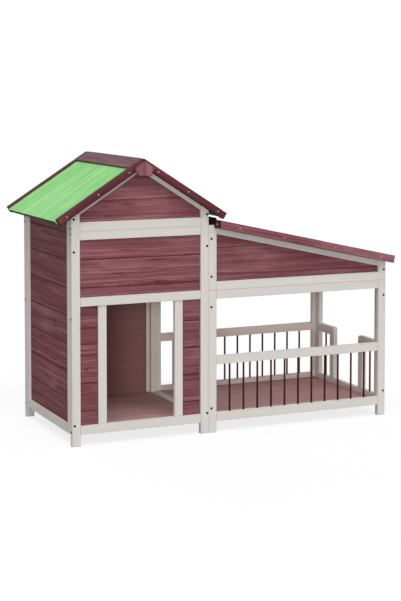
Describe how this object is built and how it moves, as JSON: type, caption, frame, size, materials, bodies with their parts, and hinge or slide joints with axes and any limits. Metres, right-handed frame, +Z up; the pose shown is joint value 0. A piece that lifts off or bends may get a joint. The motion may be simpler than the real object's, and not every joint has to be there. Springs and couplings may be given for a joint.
{
  "type": "dog house",
  "caption": "Gabled timber dog house with an open doorway, an attached railed run under a lean-to roof, and roof lids that lift for access.",
  "frame": {"origin": "middle of the footprint of the whole object, roof overhangs included, on the ground plane", "axes": "+X to the right along the front, from the house to the run; +Y from the front to the back; +Z up"},
  "size_m": [1.4732, 0.6656, 1.0975],
  "materials": {
    "whitewashed_wood": "thin white stain, satin",
    "red_brown_boards": "red-brown stain, satin",
    "roof_trim_wood": "dark red-brown stain, satin",
    "ridge_cap_wood": "red-brown stain, worn, matt",
    "green_wood": "green stain, satin",
    "floor_wood": "brown stain, matt",
    "dark_steel": "black, semi-gloss"
  },
  "bodies": {
    "kennel": {"house_front_left_post": "whitewashed_wood", "house_front_right_post": "whitewashed_wood", "house_front_bottom_rail": "whitewashed_wood", "front_gable_rail": "whitewashed_wood", "front_gable_rafters": "whitewashed_wood", "front_gable_boards": "red_brown_boards", "door_head_rail": "whitewashed_wood", "front_panel_top_rail": "whitewashed_wood", "door_left_jamb": "whitewashed_wood", "door_right_jamb": "whitewashed_wood", "door_left_boards": "red_brown_boards", "door_right_boards": "red_brown_boards", "front_panel_boards": "red_brown_boards", "house_back_left_post": "whitewashed_wood", "house_back_right_post": "whitewashed_wood", "house_back_bottom_rail": "whitewashed_wood", "back_gable_rail": "whitewashed_wood", "back_gable_rafters": "whitewashed_wood", "back_gable_boards": "red_brown_boards", "back_wall_boards": "red_brown_boards", "left_wall_frame": "whitewashed_wood", "left_wall_boards": "red_brown_boards", "partition_frame": "whitewashed_wood", "partition_boards": "red_brown_boards", "house_floor": "floor_wood", "run_floor": "floor_wood", "roof_right_panel": "green_wood", "roof_right_ridge_cap": "ridge_cap_wood", "roof_right_front_barge": "roof_trim_wood", "roof_right_back_barge": "roof_trim_wood", "front_ridge_plate": "roof_trim_wood", "back_ridge_plate": "roof_trim_wood", "ridge_hinge_fixed_leaf": "dark_steel", "run_hinge_fixed_leaf": "dark_steel", "run_front_left_post": "whitewashed_wood", "run_front_right_post": "whitewashed_wood", "run_front_top_rail": "whitewashed_wood", "run_front_gable_frame": "whitewashed_wood", "run_front_gable_boards": "red_brown_boards", "run_back_left_post": "whitewashed_wood", "run_back_right_post": "whitewashed_wood", "run_back_top_rail": "whitewashed_wood", "run_back_gable_frame": "whitewashed_wood", "run_back_gable_boards": "red_brown_boards", "run_front_bottom_rail": "whitewashed_wood", "run_front_railing": "whitewashed_wood", "run_back_railing": "whitewashed_wood", "run_side_frame": "whitewashed_wood", "run_side_front_wing": "whitewashed_wood", "run_side_back_wing": "whitewashed_wood", "run_roof_beam": "roof_trim_wood"},
    "house_roof_lid": {"roof_left_panel": "green_wood", "roof_left_ridge_cap": "ridge_cap_wood", "roof_left_front_barge": "roof_trim_wood", "roof_left_back_barge": "roof_trim_wood", "ridge_hinge_lid_leaf": "dark_steel"},
    "run_roof_lid": {"run_roof_panel": "green_wood", "run_roof_front_fascia": "roof_trim_wood", "run_roof_back_fascia": "roof_trim_wood", "run_hinge_lid_leaf": "dark_steel"}
  },
  "joints": [
    {"name": "house_roof_lid_hinge", "type": "hinge", "parent": "kennel", "child": "house_roof_lid", "pos_m": [-0.3852, 0, 1.09559], "axis": [0, 1, 0], "range_deg": [0, 100]},
    {"name": "run_roof_lid_hinge", "type": "hinge", "parent": "kennel", "child": "run_roof_lid", "pos_m": [-0.06357, 0, 0.84506], "axis": [0, -1, 0], "range_deg": [0, 22]}
  ]
}
